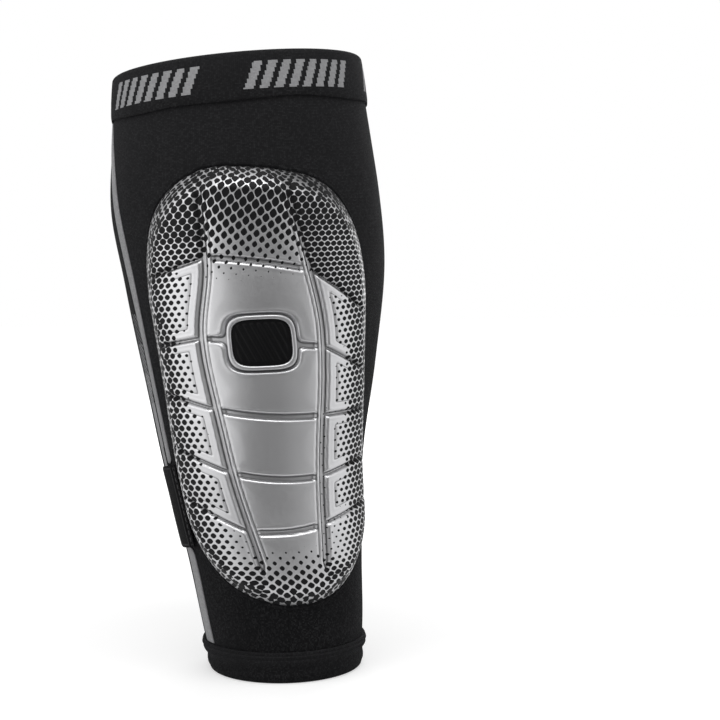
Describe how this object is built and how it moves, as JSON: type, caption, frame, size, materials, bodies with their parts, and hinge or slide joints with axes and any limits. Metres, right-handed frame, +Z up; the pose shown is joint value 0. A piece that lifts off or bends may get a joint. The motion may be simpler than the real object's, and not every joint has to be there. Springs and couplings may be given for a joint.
{
  "type": "shin_guard",
  "caption": "Knitted calf sleeve with a moulded, printed foam pad in a window over the shin, elastic cuff and hem, and a side label that folds out",
  "frame": {"origin": "middle of the guard's box at the floor under its bottom hem", "axes": "+Z up the leg from ankle to knee, -Y out of the shin through the pad, +X towards the wing without the stripe"},
  "size_m": [0.1248, 0.128, 0.2748],
  "materials": {
    "knit": "fine black compression knit",
    "elastic": "woven elastic band",
    "stripe": "grey knit stripe",
    "label": "black woven label",
    "thread": "black sewing thread",
    "lining": "thin dark lining knit",
    "foam": "moulded elastomer foam, dark skin",
    "silver": "satin silver printed film",
    "inlay": "smooth black inlay"
  },
  "bodies": {
    "guard": {"knit_sleeve": "knit", "top_cuff": "knit", "cuff_elastic": "elastic", "bottom_hem": "knit", "hem_elastic": "elastic", "hem_roll": "knit", "stripe_upper": "stripe", "stripe_lower": "stripe", "label_tab": "label", "label_thread": "thread", "pad_lining": "lining", "foam_core": "foam", "window_welt": "knit", "badge_frame": "silver", "badge_inlay": "inlay", "centre_panel_1": "silver", "centre_panel_2": "silver", "centre_panel_3": "silver", "centre_panel_4": "silver", "centre_panel_5": "silver", "centre_panel_6": "silver", "outer_panel_1": "silver", "outer_panel_2": "silver", "outer_panel_3": "silver", "outer_panel_4": "silver", "outer_panel_5": "silver", "outer_panel_6": "silver", "inner_panel_1": "silver", "inner_panel_2": "silver", "inner_panel_3": "silver", "inner_panel_4": "silver", "inner_panel_5": "silver", "inner_panel_6": "silver"},
    "label": {"label_flap": "label"}
  },
  "joints": [
    {"name": "label_fold", "type": "hinge", "parent": "guard", "child": "label", "pos_m": [-0.03414, -0.03268, 0.07521], "axis": [-0.2164, 0.055, 0.9747], "range_deg": [0, 120], "stiffness_Nm_per_rad": 0.0002}
  ]
}
